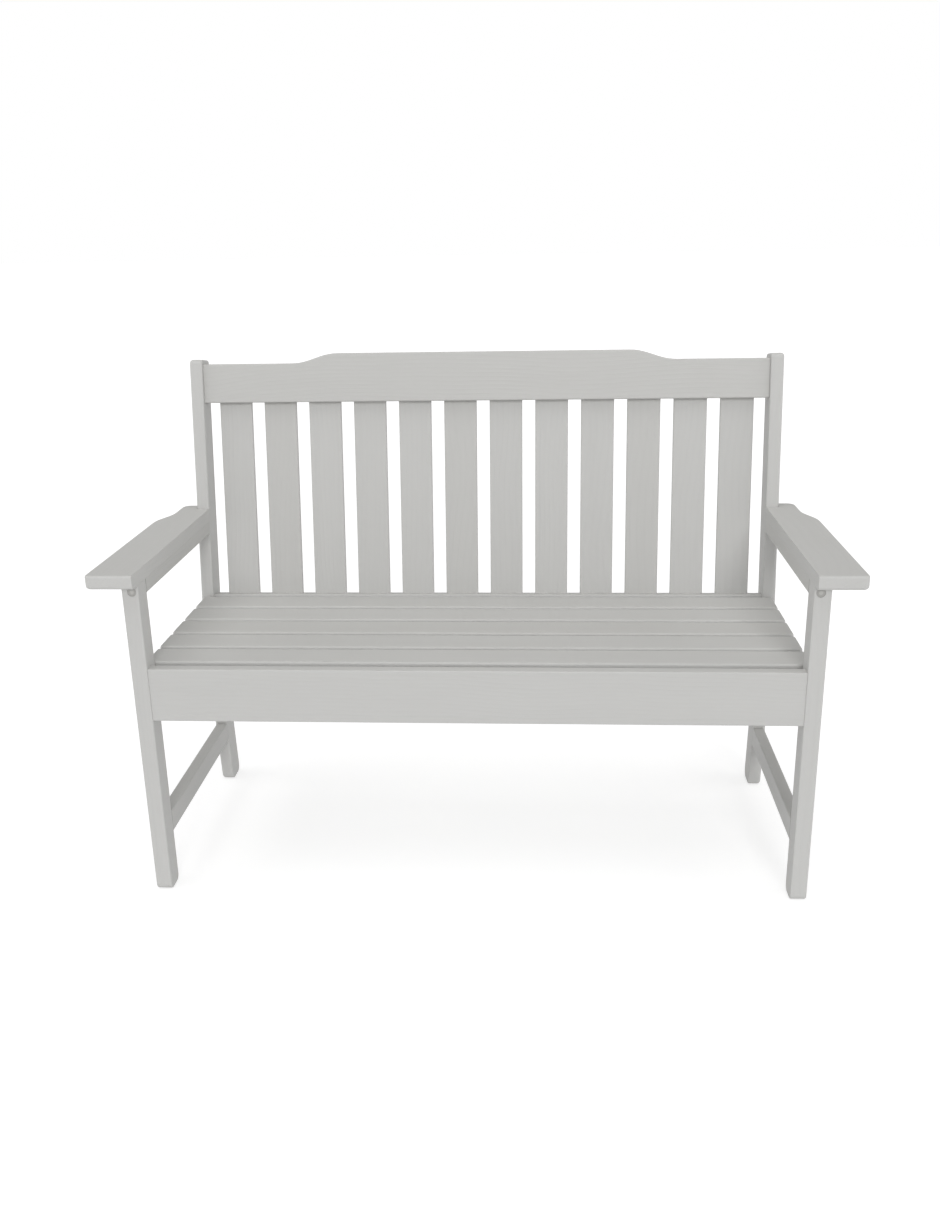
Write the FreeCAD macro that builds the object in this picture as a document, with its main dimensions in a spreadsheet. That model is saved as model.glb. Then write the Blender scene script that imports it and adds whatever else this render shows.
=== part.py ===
import FreeCAD, Part
import Sketcher
import math
import os

# Slatted two-seat garden bench in painted wood.
# Frame: X along the bench (+X is the sitter's left), -Y is the front, +Z is up.
# Origin: centre of the bench's outline on the floor.
# "left" and "right" are named as seen from the front, so left is -X.

DRIVING_SIZES = [
    ("overall_width", 1258.0),
    ("overall_depth", 552.6),
    ("overall_height", 897.0),
    ("edge_round", 2.5),
    ("joint_gap", 0.2),
    ("fit_clearance", 0.3),
    # armrests and the rails under them
    ("arm_width", 80.0),
    ("arm_thickness", 24.0),
    ("arm_top_height", 600.0),
    ("arm_overhang", 24.0),
    ("arm_waist", 20.0),
    ("arm_waist_start", 367.0),
    ("arm_waist_run", 50.0),
    ("arm_rear_past_post", 36.0),
    ("arm_corner_round", 16.0),
    ("arm_front_round", 10.0),
    ("arm_top_round", 4.0),
    ("arm_under_round", 6.0),
    ("arm_ogee_radius", 88.0),
    ("arm_rail_height", 25.0),
    ("arm_rail_thickness", 26.0),
    # front legs and rear posts
    ("leg_thickness", 28.0),
    ("leg_depth", 42.0),
    ("foot_round", 12.0),
    ("post_thickness", 25.0),
    ("post_depth", 52.0),
    ("post_height", 888.0),
    ("post_top_round", 8.0),
    ("post_outer_round", 6.0),
    ("post_foot_round", 14.0),
    ("bend_height", 345.0),
    ("back_angle", 8.2),
    ("foot_splay", 36.0),
    # seat
    ("seat_height", 426.0),
    ("seat_slat_thickness", 18.0),
    ("seat_slat_width", 65.0),
    ("seat_slat_start", 2.0),
    ("seat_slat_gap", 9.5),
    ("seat_overlap", 17.0),
    ("slat_corner_round", 5.5),
    ("slat_top_round", 4.0),
    ("seat_rail_height", 40.0),
    ("seat_rail_thickness", 22.0),
    ("apron_height", 95.5),
    ("apron_thickness", 20.0),
    ("apron_set_back", 2.0),
    ("apron_rise", 1.5),
    # low side stretchers
    ("stretcher_bottom", 98.0),
    ("stretcher_height", 40.0),
    ("stretcher_thickness", 22.0),
    # back panel, measured square to the leaning back
    ("rail_set_back", 9.0),
    ("rail_thickness", 26.0),
    ("lower_rail_height", 60.0),
    ("top_rail_end_height", 75.0),
    ("crest_rise", 18.5),
    ("crest_half_length", 300.0),
    ("crest_run", 56.0),
    ("ogee_radius", 110.0),
    ("back_slat_width", 64.0),
    ("back_slat_thickness", 10.0),
    ("slat_housing", 30.0),
    # tenons
    ("tenon_thickness", 10.0),
    ("tenon_shoulder", 6.0),
    ("tenon_length", 16.0),
    ("bearer_tenon_length", 10.0),
    ("tenon_root", 5.0),
    ("rear_tenon_block", 30.0),
    ("cut_lead", 12.0),
    ("overcut", 1.0),
    # fasteners
    ("bolt_diameter", 6.0),
    ("bolt_head_diameter", 13.0),
    ("bolt_head_height", 3.5),
    ("bolt_length", 50.0),
    ("nut_diameter", 10.0),
    ("nut_length", 14.0),
    ("bore_past_nut", 14.0),
    ("dowel_diameter", 8.0),
    ("dowel_length", 30.0),
    ("plug_diameter", 15.0),
    ("plug_thickness", 5.0),
    ("plug_recess", 1.0),
    ("plug_drop", 11.0),
    ("plug_inset", 2.5),
    ("long_screw_diameter", 5.0),
    ("long_screw_reach", 36.0),
    ("screw_diameter", 4.0),
    ("screw_head_diameter", 8.0),
    ("screw_head_height", 2.5),
    ("screw_bite", 11.0),
    ("screw_end_space", 18.0),
    ("head_sink", 0.5),
]

BACK_SLATS = 12
SEAT_SLATS = 5
TOLERANCE = 0.01
NEAR = 1.0

os.makedirs("parts", exist_ok=True)
doc = FreeCAD.newDocument("garden_bench")
dims = doc.addObject("Spreadsheet::Sheet", "dims")


class Size:
    """A number together with the formula on the sheet's cells that gives it."""

    def __init__(self, value, text):
        self.value = value
        self.text = text

    def __add__(self, other):
        other = as_size(other)
        return Size(self.value + other.value, "(" + self.text + " + " + other.text + ")")

    def __sub__(self, other):
        other = as_size(other)
        return Size(self.value - other.value, "(" + self.text + " - " + other.text + ")")

    def __mul__(self, other):
        other = as_size(other)
        return Size(self.value * other.value, "(" + self.text + " * " + other.text + ")")

    def __truediv__(self, other):
        other = as_size(other)
        return Size(self.value / other.value, "(" + self.text + " / " + other.text + ")")

    def __neg__(self):
        return as_size(0) - self

    __radd__ = __add__
    __rmul__ = __mul__

    def __rsub__(self, other):
        return as_size(other) - self


def as_size(number):
    """A plain number as a Size; a Size as it is."""
    if isinstance(number, Size):
        return number
    return Size(float(number), "(" + repr(float(number)) + ")")


for row, (alias, value) in enumerate(DRIVING_SIZES, start=1):
    dims.set("A" + str(row), alias)
    dims.set("B" + str(row), str(value))
    dims.setAlias("B" + str(row), alias)
doc.recompute()


def size(alias):
    """The named cell of the sheet as a Size."""
    return Size(float(dims.get(alias)), "dims." + alias)


def trig(function, name, angle):
    """A sine, cosine or tangent of an angle held in degrees."""
    return Size(function(math.radians(angle.value)), name + "(" + angle.text + " * 1 deg)")


edge_round = size("edge_round")
gap = size("joint_gap")
clearance = size("fit_clearance")
overcut = size("overcut")
lead = size("cut_lead")
sink = size("head_sink")
lean_sin = trig(math.sin, "sin", size("back_angle"))
lean_cos = trig(math.cos, "cos", size("back_angle"))
lean_tan = trig(math.tan, "tan", size("back_angle"))

inner_x = size("overall_width") / 2 - size("arm_width")
leg_face_y = size("arm_overhang") - size("overall_depth") / 2
leg_rear_y = leg_face_y + size("leg_depth")
arm_under = size("arm_top_height") - size("arm_thickness")
seat_under = size("seat_height") - size("seat_slat_thickness")
bend_z = size("bend_height")

# The back panel's own frame: its origin is the posts' front face at the bend, "in" runs
# square to the leaning face toward the rear and "up" runs along it.
top_round = size("post_top_round")
post_up = top_round + (size("post_height") - top_round - bend_z + top_round * lean_sin) / lean_cos
bend_y = (
    size("overall_depth") / 2
    - top_round
    - (size("post_depth") - top_round) * lean_cos
    - (post_up - top_round) * lean_sin
)
rail_in = size("rail_set_back")
rail_back_in = rail_in + size("rail_thickness")
slat_in = rail_back_in - size("back_slat_thickness")
crest_up = edge_round + (
    size("overall_height") - bend_z - edge_round + (rail_in + edge_round) * lean_sin
) / lean_cos
top_rail_end_up = crest_up - size("crest_rise")
top_rail_low_up = top_rail_end_up - size("top_rail_end_height")
lower_rail_top_up = (size("seat_height") - bend_z + rail_in * lean_sin) / lean_cos
lower_rail_low_up = lower_rail_top_up - size("lower_rail_height")


def panel_y(inward, up):
    """Y of a point given in the back panel's frame."""
    return bend_y + inward * lean_cos + up * lean_sin


def panel_z(inward, up):
    """Z of a point given in the back panel's frame."""
    return bend_z - inward * lean_sin + up * lean_cos


def post_front_y(height):
    """Y of the posts' leaning front face above the bend."""
    return bend_y + (height - bend_z) * lean_tan


def leg_front_y(height):
    """Y of the rear legs' splayed front face below the bend."""
    return bend_y + (bend_z - height) * size("foot_splay") / bend_z


def bind(target, prop, length):
    """Set a property from a Size and bind it to the sheet."""
    target.setExpression(prop, as_size(length).text)


def place(target, x, y, z, axis=None, angle=None):
    """Bind a feature's position and, where it turns, its axis and angle."""
    if axis is not None:
        target.Placement = FreeCAD.Placement(FreeCAD.Vector(), FreeCAD.Rotation(axis, as_size(angle).value))
        bind(target, "Placement.Rotation.Angle", angle)
    bind(target, "Placement.Base.x", x)
    bind(target, "Placement.Base.y", y)
    bind(target, "Placement.Base.z", z)


def new_body(name):
    """An empty body whose label is the piece's name."""
    body = doc.addObject("PartDesign::Body", name)
    body.Label = name
    return body


def box(body, kind, name, corner, lengths):
    """A block added to or cut from a body, from its low corner along X, Y and Z."""
    block = body.newObject("PartDesign::" + kind + "Box", name)
    for prop, length in zip(("Length", "Width", "Height"), lengths):
        bind(block, prop, length)
    place(block, *corner)
    return block


AXIS_TURNS = {
    "x": (FreeCAD.Vector(0, 1, 0), 90.0),
    "-x": (FreeCAD.Vector(0, 1, 0), -90.0),
    "y": (FreeCAD.Vector(1, 0, 0), -90.0),
    "-y": (FreeCAD.Vector(1, 0, 0), 90.0),
    "z": (FreeCAD.Vector(1, 0, 0), 0.0),
    "-z": (FreeCAD.Vector(1, 0, 0), 180.0),
}


def drill(body, name, start, heading, diameter, depth):
    """Cut a round hole from a start point along one of the axes."""
    hole = body.newObject("PartDesign::SubtractiveCylinder", name)
    axis, angle = AXIS_TURNS[heading]
    hole.Placement = FreeCAD.Placement(FreeCAD.Vector(), FreeCAD.Rotation(axis, angle))
    bind(hole, "Radius", diameter / 2)
    bind(hole, "Height", depth)
    place(hole, *start)
    return hole


def outline(body, role, corners):
    """A closed sketch of straight lines on one of the body's origin planes, every corner bound."""
    sketch = body.newObject("Sketcher::SketchObject", body.Name + "_outline")
    plane = [feature for feature in body.Origin.OriginFeatures if feature.Role == role][0]
    sketch.AttachmentSupport = (plane, [""])
    sketch.MapMode = "FlatFace"
    points = [FreeCAD.Vector(across.value, along.value, 0) for across, along in corners]
    count = len(points)
    for index in range(count):
        sketch.addGeometry(Part.LineSegment(points[index], points[(index + 1) % count]), False)
    for index in range(count):
        sketch.addConstraint(Sketcher.Constraint("Coincident", index, 2, (index + 1) % count, 1))
    for index, (across, along) in enumerate(corners):
        for kind, length in (("DistanceX", across), ("DistanceY", along)):
            number = sketch.addConstraint(Sketcher.Constraint(kind, -1, 1, index, 1, length.value))
            sketch.setExpression("Constraints[" + str(number) + "]", length.text)
    return sketch


def pad(body, sketch, length):
    """Pad a sketch along its plane's normal."""
    solid = body.newObject("PartDesign::Pad", body.Name + "_pad")
    solid.Profile = sketch
    bind(solid, "Length", length)
    sketch.Visibility = False
    return solid


def round_edges(body, name, radius, wanted):
    """Fillet the edges of the body's tip that the test picks."""
    doc.recompute()
    base = body.Tip
    chosen = []
    for number, edge in enumerate(base.Shape.Edges, start=1):
        if wanted(edge):
            chosen.append("Edge" + str(number))
    fillet = body.newObject("PartDesign::Fillet", name)
    fillet.Base = (base, chosen)
    bind(fillet, "Radius", radius)
    doc.recompute()
    return fillet


def runs_along(edge, axis):
    """True when a straight edge is parallel to the axis (0, 1 or 2)."""
    if edge.Curve.TypeId != "Part::GeomLine":
        return False
    return abs(edge.tangentAt(edge.FirstParameter)[axis]) > 1 - TOLERANCE


def at(edge, axis, length):
    """True when the edge's middle lies at this coordinate."""
    return abs(edge.CenterOfMass[axis] - as_size(length).value) < NEAR


def side_plate(name, side, thickness, corners, start_x=None):
    """A board cut to an outline in the YZ plane; side is -1 for left and 1 for right."""
    body = new_body(name)
    sketch = outline(body, "YZ_Plane", corners)
    pad(body, sketch, thickness)
    low_x = inner_x if start_x is None else start_x
    if side < 0:
        low_x = -low_x - thickness
    bind(body, "Placement.Base.x", low_x)
    return body


def plate_x(side, thickness):
    """X of a side plate's low face."""
    return inner_x if side > 0 else -inner_x - thickness


def tenon(body, name, thickness, corner_y, low_z, height, length):
    """A tenon in the middle of a side plate's thickness, in the plate's own X."""
    return box(
        body,
        "Additive",
        name,
        ((thickness - size("tenon_thickness")) / 2, corner_y, low_z),
        (size("tenon_thickness"), length, height),
    )


def mortise(body, name, side, own_thickness, thickness, corner_y, low_z, height, length):
    """The hole for such a tenon, with the fit clearance round it, in the receiving plate's X."""
    middle = thickness / 2 if side > 0 else own_thickness - thickness / 2
    half = size("tenon_thickness") / 2 + clearance / 2
    return box(
        body,
        "Subtractive",
        name,
        (middle - half, corner_y, low_z - clearance / 2),
        (half * 2, length, height + clearance),
    )


# Heights and bores shared by the pieces that meet.
bolt_bore = size("bolt_diameter") + clearance
head_bore = size("bolt_head_diameter") + clearance
nut_bore = size("nut_diameter") + clearance
dowel_bore = size("dowel_diameter") + clearance
plug_bore = size("plug_diameter") + clearance
long_bore = size("long_screw_diameter") + clearance
screw_bore = size("screw_diameter") + clearance
screw_head_bore = size("screw_head_diameter") + clearance
head_seat = size("screw_head_height") + overcut

plug_z = arm_under - size("plug_drop")
plug_in = inner_x + size("arm_rail_thickness") / 2 - size("plug_inset")
plug_pocket = size("plug_thickness") + size("plug_recess") + size("bolt_head_height")
rear_pocket = plug_pocket + overcut * 2
seat_tenon_low = seat_under - size("seat_rail_height") + size("tenon_shoulder")
seat_tenon_height = size("seat_rail_height") - size("tenon_shoulder") * 2
stretch_tenon_low = size("stretcher_bottom") + size("tenon_shoulder")
stretch_tenon_height = size("stretcher_height") - size("tenon_shoulder") * 2
tenon_length = size("tenon_length")
block = size("rear_tenon_block")
bearer_tenon_low = seat_under - size("seat_rail_height") + size("tenon_shoulder") * 2
bearer_tenon_height = size("seat_rail_height") - size("tenon_shoulder") * 4
apron_nut_depth = size("apron_thickness") / 2 + size("nut_length") / 2
rail_nut_depth = size("rail_thickness") / 2 + size("nut_length") / 2

apron_top = size("seat_height") + size("apron_rise")
apron_low = apron_top - size("apron_height")
apron_y = leg_face_y + size("apron_set_back")
apron_mid_y = apron_y + size("apron_thickness") / 2
apron_bolt_heights = [apron_low + size("apron_height") / 4, apron_top - size("apron_height") / 4]
head_pocket = size("bolt_head_height") + size("plug_recess")
nut_from_end = size("bolt_length") - size("leg_thickness") + head_pocket - size("nut_diameter") * 0.8
post_nut_from_end = size("bolt_length") - size("post_thickness") + head_pocket - size("nut_diameter") * 0.8
apron_bolt_reach = nut_from_end + size("bore_past_nut")
back_bolt_reach = post_nut_from_end + size("bore_past_nut")

rail_mid_in = (rail_in + slat_in) / 2
dowel_half = size("dowel_length") / 2
top_bolt_up = top_rail_end_up - size("top_rail_end_height") / 3
top_dowel_up = top_rail_low_up + size("slat_housing") / 2
lower_bolt_up = lower_rail_low_up + size("lower_rail_height") / 4
lower_dowel_up = lower_rail_top_up - size("slat_housing") / 2
bolt_in = rail_in + size("rail_thickness") / 2


def build_front_leg(name, side):
    """Front leg: straight, foot rounded front and rear, top under the armrest."""
    thickness = size("leg_thickness")
    top = arm_under - gap
    corners = [(leg_face_y, as_size(0)), (leg_rear_y, as_size(0)), (leg_rear_y, top), (leg_face_y, top)]
    body = side_plate(name, side, thickness, corners)
    low_x = plate_x(side, thickness)
    round_edges(body, name + "_foot", size("foot_round"), lambda e: runs_along(e, 0) and at(e, 2, 0))
    round_edges(body, name + "_ease", edge_round, lambda e: not runs_along(e, 0) and not at(e, 2, top))
    outer_x = as_size(0) if side < 0 else thickness
    inward = "x" if side < 0 else "-x"
    for number, height in enumerate(apron_bolt_heights, start=1):
        start = (outer_x, apron_mid_y, height)
        drill(body, name + "_bolt_hole_" + str(number), start, inward, bolt_bore, thickness)
        drill(body, name + "_head_seat_" + str(number), start, inward, head_bore, head_pocket)
    plug_x = plug_in * side - low_x
    start = (plug_x, leg_face_y, plug_z)
    drill(body, name + "_screw_hole", start, "y", long_bore, size("leg_depth"))
    drill(body, name + "_plug_seat", start, "y", plug_bore, plug_pocket)
    mortise(
        body, name + "_seat_mortise", side, thickness, size("seat_rail_thickness"),
        leg_rear_y - tenon_length - overcut, seat_tenon_low, seat_tenon_height, tenon_length + overcut * 2,
    )
    mortise(
        body, name + "_stretcher_mortise", side, thickness, size("stretcher_thickness"),
        leg_rear_y - tenon_length - overcut, stretch_tenon_low, stretch_tenon_height,
        tenon_length + overcut * 2,
    )
    return body


def build_rear_post(name, side):
    """Rear post: splayed leg, bend under the seat, leaning back post with a rounded top."""
    thickness = size("post_thickness")
    depth = size("post_depth")
    foot_y = leg_front_y(as_size(0))
    bend_rear = depth / lean_cos
    corners = [
        (foot_y, as_size(0)),
        (foot_y + depth, as_size(0)),
        (bend_y + bend_rear, bend_z),
        (panel_y(depth, post_up), panel_z(depth, post_up)),
        (panel_y(as_size(0), post_up), panel_z(as_size(0), post_up)),
        (bend_y, bend_z),
    ]
    body = side_plate(name, side, thickness, corners)
    low_x = plate_x(side, thickness)
    tall = size("post_height").value - size("post_depth").value / 2
    round_edges(
        body, name + "_top", top_round, lambda e: runs_along(e, 0) and e.CenterOfMass.z > tall
    )
    round_edges(body, name + "_foot", size("post_foot_round"), lambda e: runs_along(e, 0) and at(e, 2, 0))
    outer_x = as_size(0) if side < 0 else thickness
    round_edges(body, name + "_outer_ease", size("post_outer_round"), lambda e: at(e, 0, outer_x))
    inner = thickness if side < 0 else as_size(0)
    round_edges(body, name + "_inner_ease", edge_round, lambda e: at(e, 0, inner))
    inward = "x" if side < 0 else "-x"
    outward = "-x" if side < 0 else "x"
    for label, up in (("top", top_bolt_up), ("low", lower_bolt_up)):
        start = (outer_x, panel_y(bolt_in, up), panel_z(bolt_in, up))
        drill(body, name + "_" + label + "_bolt_hole", start, inward, bolt_bore, thickness)
        drill(body, name + "_" + label + "_head_seat", start, inward, head_bore, head_pocket)
    for label, up in (("top", top_dowel_up), ("low", lower_dowel_up)):
        start = (inner, panel_y(rail_mid_in, up), panel_z(rail_mid_in, up))
        drill(body, name + "_" + label + "_dowel_hole", start, outward, dowel_bore, dowel_half + overcut)
    plug_x = plug_in * side - low_x
    rear_y = post_front_y(plug_z) + depth / lean_cos
    start = (plug_x, rear_y + lead, plug_z)
    drill(body, name + "_screw_hole", start, "-y", long_bore, depth / lean_cos + lead * 2)
    drill(body, name + "_plug_seat", start, "-y", plug_bore, rear_pocket + lead)
    mortise(
        body, name + "_seat_mortise", side, thickness, size("seat_rail_thickness"),
        post_front_y(seat_under) - lead, seat_tenon_low, seat_tenon_height, tenon_length + lead + overcut,
    )
    stretcher_y = leg_front_y(size("stretcher_bottom"))
    mortise(
        body, name + "_stretcher_mortise", side, thickness, size("stretcher_thickness"),
        stretcher_y - lead, stretch_tenon_low, stretch_tenon_height, tenon_length + lead + overcut,
    )
    return body


def build_arm_rail(name, side):
    """Rail under the armrest, from the leg's rear face to the leaning post."""
    thickness = size("arm_rail_thickness")
    top = arm_under - gap
    low = arm_under - size("arm_rail_height")
    front = leg_rear_y + gap
    corners = [
        (front, low), (post_front_y(low) - gap * 2, low), (post_front_y(top) - gap * 2, top), (front, top)
    ]
    body = side_plate(name, side, thickness, corners)
    low_x = plate_x(side, thickness)
    round_edges(body, name + "_ease", edge_round, lambda e: runs_along(e, 1) and at(e, 2, low))
    reach = size("long_screw_reach") + overcut
    screw_x = plug_in * side - low_x
    drill(body, name + "_front_bore", (screw_x, front, plug_z), "y", long_bore, reach)
    drill(body, name + "_rear_bore", (screw_x, post_front_y(plug_z), plug_z), "-y", long_bore, reach)
    for number, along in enumerate(armrest_screw_ys(), start=1):
        start = (thickness / 2, along, low)
        drill(body, name + "_hole_" + str(number), start, "z", screw_bore, size("arm_rail_height"))
        drill(body, name + "_head_" + str(number), start, "z", screw_head_bore, head_seat)
    return body


def armrest_screw_ys():
    """Y of the three screws that hold an armrest to its rail."""
    front = leg_rear_y + size("long_screw_reach") + size("screw_end_space")
    rear = post_front_y(plug_z) - size("long_screw_reach") - size("screw_end_space")
    return [front, (front + rear) / 2, rear]


def build_armrest(name, side):
    """Armrest: flat board, outer edge waisted by an ogee, notched round the rear post."""
    body = new_body(name)
    front = -size("overall_depth") / 2
    rear = post_front_y(arm_under) + size("arm_rear_past_post")
    outer = inner_x + size("arm_width")
    waist = outer - size("arm_waist")
    start = front + size("arm_waist_start")
    end = start + size("arm_waist_run")
    corners = [
        (inner_x * side, front), (outer * side, front), (outer * side, start),
        (waist * side, end), (waist * side, rear), (inner_x * side, rear),
    ]
    sketch = outline(body, "XY_Plane", corners)
    pad(body, sketch, size("arm_thickness"))
    bind(body, "Placement.Base.z", arm_under)
    round_edges(
        body, name + "_ogee", size("arm_ogee_radius"),
        lambda e: runs_along(e, 2) and (at(e, 1, start) or at(e, 1, end)),
    )
    round_edges(
        body, name + "_corner", size("arm_corner_round"),
        lambda e: runs_along(e, 2) and at(e, 1, rear) and at(e, 0, waist * side),
    )
    round_edges(
        body, name + "_front_corner", size("arm_front_round"),
        lambda e: runs_along(e, 2) and at(e, 1, front) and at(e, 0, outer * side),
    )
    for tag, level in (("top", size("arm_thickness")), ("under", as_size(0))):
        round_edges(
            body, name + "_" + tag, size("arm_" + tag + "_round"),
            lambda e: runs_along(e, 1) and at(e, 0, outer * side) and at(e, 2, level),
        )
    notch = body.newObject("PartDesign::SubtractiveBox", name + "_notch")
    width = size("post_thickness") + clearance + lead
    low_x = inner_x - lead if side > 0 else -inner_x - size("post_thickness") - clearance
    bind(notch, "Length", width)
    bind(notch, "Width", size("post_depth") * 3)
    bind(notch, "Height", size("arm_thickness") * 3)
    face_y = post_front_y(arm_under) - clearance - size("arm_thickness") * lean_tan
    place(
        notch, low_x, face_y, -size("arm_thickness"),
        FreeCAD.Vector(1, 0, 0), -size("back_angle"),
    )
    for number, along in enumerate(armrest_screw_ys(), start=1):
        screw_x = (inner_x + size("arm_rail_thickness") / 2) * side
        bite = size("screw_bite") + overcut
        drill(body, name + "_hole_" + str(number), (screw_x, along, as_size(0)), "z", screw_bore, bite)
    return body


def build_seat_rail(name, side):
    """Side bearer under the seat slats, tenoned into the front leg and the rear post."""
    thickness = size("seat_rail_thickness")
    top = seat_under - gap
    low = seat_under - size("seat_rail_height")
    front = leg_rear_y + gap
    corners = [
        (front, low), (post_front_y(low) - gap * 2, low), (post_front_y(top) - gap * 2, top), (front, top)
    ]
    body = side_plate(name, side, thickness, corners)
    tenon(
        body, name + "_front_tenon", thickness,
        front - tenon_length, seat_tenon_low, seat_tenon_height, tenon_length + size("tenon_root"),
    )
    rear = post_front_y(seat_tenon_low) + tenon_length
    tenon(body, name + "_rear_tenon", thickness, rear - block, seat_tenon_low, seat_tenon_height, block)
    for number in range(SEAT_SLATS):
        start = (thickness / 2, seat_slat_y(number) + size("seat_slat_width") / 2, low)
        drill(body, name + "_hole_" + str(number + 1), start, "z", screw_bore, size("seat_rail_height"))
        drill(body, name + "_head_" + str(number + 1), start, "z", screw_head_bore, head_seat)
    return body


def build_stretcher(name, side):
    """Low board on edge between the front and the rear leg, tenoned into both."""
    thickness = size("stretcher_thickness")
    low = size("stretcher_bottom")
    top = low + size("stretcher_height")
    front = leg_rear_y + gap
    corners = [
        (front, low), (leg_front_y(low) - gap * 2, low), (leg_front_y(top) - gap * 2, top), (front, top)
    ]
    body = side_plate(name, side, thickness, corners)
    round_edges(body, name + "_ease", edge_round, lambda e: runs_along(e, 1))
    tenon(
        body, name + "_front_tenon", thickness,
        front - tenon_length, stretch_tenon_low, stretch_tenon_height, tenon_length + size("tenon_root"),
    )
    rear = leg_front_y(low + size("stretcher_height")) + tenon_length
    tenon(
        body, name + "_rear_tenon", thickness,
        rear - block, stretch_tenon_low, stretch_tenon_height, block,
    )
    return body


def build_apron():
    """Board on edge between the front legs, in front of the first seat slat."""
    body = new_body("front_apron")
    length = (inner_x - gap) * 2
    box(
        body, "Additive", "front_apron_board",
        (gap - inner_x, apron_y, apron_low), (length, size("apron_thickness"), size("apron_height")),
    )
    round_edges(body, "front_apron_ease", edge_round, lambda e: runs_along(e, 0))
    for side in (-1, 1):
        for number, height in enumerate(apron_bolt_heights, start=1):
            tag = ("left_" if side < 0 else "right_") + str(number)
            start = ((inner_x - gap) * side, apron_mid_y, height)
            inward = "x" if side < 0 else "-x"
            drill(body, "apron_bolt_bore_" + tag, start, inward, bolt_bore, apron_bolt_reach)
            nut_x = (inner_x - nut_from_end) * side
            start = (nut_x, apron_y + size("apron_thickness"), height)
            drill(body, "apron_nut_bore_" + tag, start, "-y", nut_bore, apron_nut_depth)
    low = bearer_tenon_low - clearance / 2
    width = size("tenon_thickness") + clearance
    length = size("bearer_tenon_length")
    box(
        body, "Subtractive", "apron_mortise",
        (-width / 2, apron_y + size("apron_thickness") - length - overcut, low),
        (width, length + overcut * 2, bearer_tenon_height + clearance),
    )
    return body


def rail_front_y(height):
    """Y of the back rails' front face at a height."""
    return post_front_y(height) + rail_in / lean_cos


def build_bearer():
    """Centre bearer under the seat slats, from the apron to the lower back rail."""
    body = new_body("centre_seat_bearer")
    thickness = size("seat_rail_thickness")
    top = seat_under - gap
    low = seat_under - size("seat_rail_height")
    front = apron_y + size("apron_thickness") + gap
    corners = [
        (front, low), (rail_front_y(low) - gap * 2, low), (rail_front_y(top) - gap * 2, top), (front, top)
    ]
    sketch = outline(body, "YZ_Plane", corners)
    pad(body, sketch, thickness)
    bind(body, "Placement.Base.x", -thickness / 2)
    length = size("bearer_tenon_length")
    tenon(
        body, "bearer_front_tenon", thickness,
        front - length, bearer_tenon_low, bearer_tenon_height, length + size("tenon_root"),
    )
    rear = rail_front_y(bearer_tenon_low) + length
    tenon(body, "bearer_rear_tenon", thickness, rear - block, bearer_tenon_low, bearer_tenon_height, block)
    for number in range(SEAT_SLATS):
        start = (thickness / 2, seat_slat_y(number) + size("seat_slat_width") / 2, low)
        drill(body, "bearer_hole_" + str(number + 1), start, "z", screw_bore, size("seat_rail_height"))
        drill(body, "bearer_head_" + str(number + 1), start, "z", screw_head_bore, head_seat)
    return body


def seat_slat_y(number):
    """Y of a seat slat's front edge, counted from the front."""
    pitch = size("seat_slat_width") + size("seat_slat_gap")
    return leg_rear_y + size("seat_slat_start") + pitch * number


def build_seat_slat(number):
    """Seat slat: long board over the side bearers, every edge and corner eased."""
    name = "seat_slat_" + str(number + 1)
    body = new_body(name)
    half = inner_x + size("seat_overlap")
    box(
        body, "Additive", name + "_board",
        (-half, seat_slat_y(number), seat_under),
        (half * 2, size("seat_slat_width"), size("seat_slat_thickness")),
    )
    round_edges(body, name + "_corners", size("slat_corner_round"), lambda e: runs_along(e, 2))
    round_edges(
        body, name + "_top", size("slat_top_round"),
        lambda e: not runs_along(e, 2) and at(e, 2, size("seat_height")),
    )
    round_edges(
        body, name + "_under", edge_round, lambda e: not runs_along(e, 2) and at(e, 2, seat_under)
    )
    side_x = inner_x + size("seat_rail_thickness") / 2
    for tag, across in (("left", -side_x), ("centre", as_size(0)), ("right", side_x)):
        start = (across, seat_slat_y(number) + size("seat_slat_width") / 2, seat_under)
        drill(body, name + "_hole_" + tag, start, "z", screw_bore, size("screw_bite") + overcut)
    return body


def slat_left_x(number):
    """X of a back slat's left edge: twelve slats with thirteen equal gaps between the posts."""
    width = size("back_slat_width")
    space = (inner_x * 2 - width * BACK_SLATS) / (BACK_SLATS + 1)
    return -inner_x + space + (width + space) * number


def lean(body):
    """Stand a body modelled in the back panel's frame against the leaning posts."""
    place(body, as_size(0), bend_y, bend_z, FreeCAD.Vector(1, 0, 0), -size("back_angle"))


def slat_screw_ups():
    """Heights, along the back, of the screws at a back slat's two ends."""
    return [
        lower_rail_top_up - size("slat_housing") / 2,
        top_rail_low_up + size("slat_housing") / 2,
    ]


def drill_back_rail(body, name, bolt_up, dowel_up, screw_up):
    """Bores of a back rail: bolt, barrel nut and dowel at each end, a pilot for each slat's screw."""
    pilot = size("screw_bite") + overcut
    for side in (-1, 1):
        tag = "_left" if side < 0 else "_right"
        inward = "x" if side < 0 else "-x"
        end_x = (inner_x - gap) * side
        start = (end_x, bolt_in, bolt_up)
        drill(body, name + "_bolt_bore" + tag, start, inward, bolt_bore, back_bolt_reach)
        nut_x = (inner_x - post_nut_from_end) * side
        start = (nut_x, rail_back_in, bolt_up)
        drill(body, name + "_nut_bore" + tag, start, "-y", nut_bore, rail_nut_depth)
        start = (end_x, rail_mid_in, dowel_up)
        drill(body, name + "_dowel_bore" + tag, start, inward, dowel_bore, dowel_half + overcut)
    for number in range(BACK_SLATS):
        middle = slat_left_x(number) + size("back_slat_width") / 2
        start = (middle, slat_in, screw_up)
        drill(body, name + "_pilot_" + str(number + 1), start, "-y", screw_bore, pilot)


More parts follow.
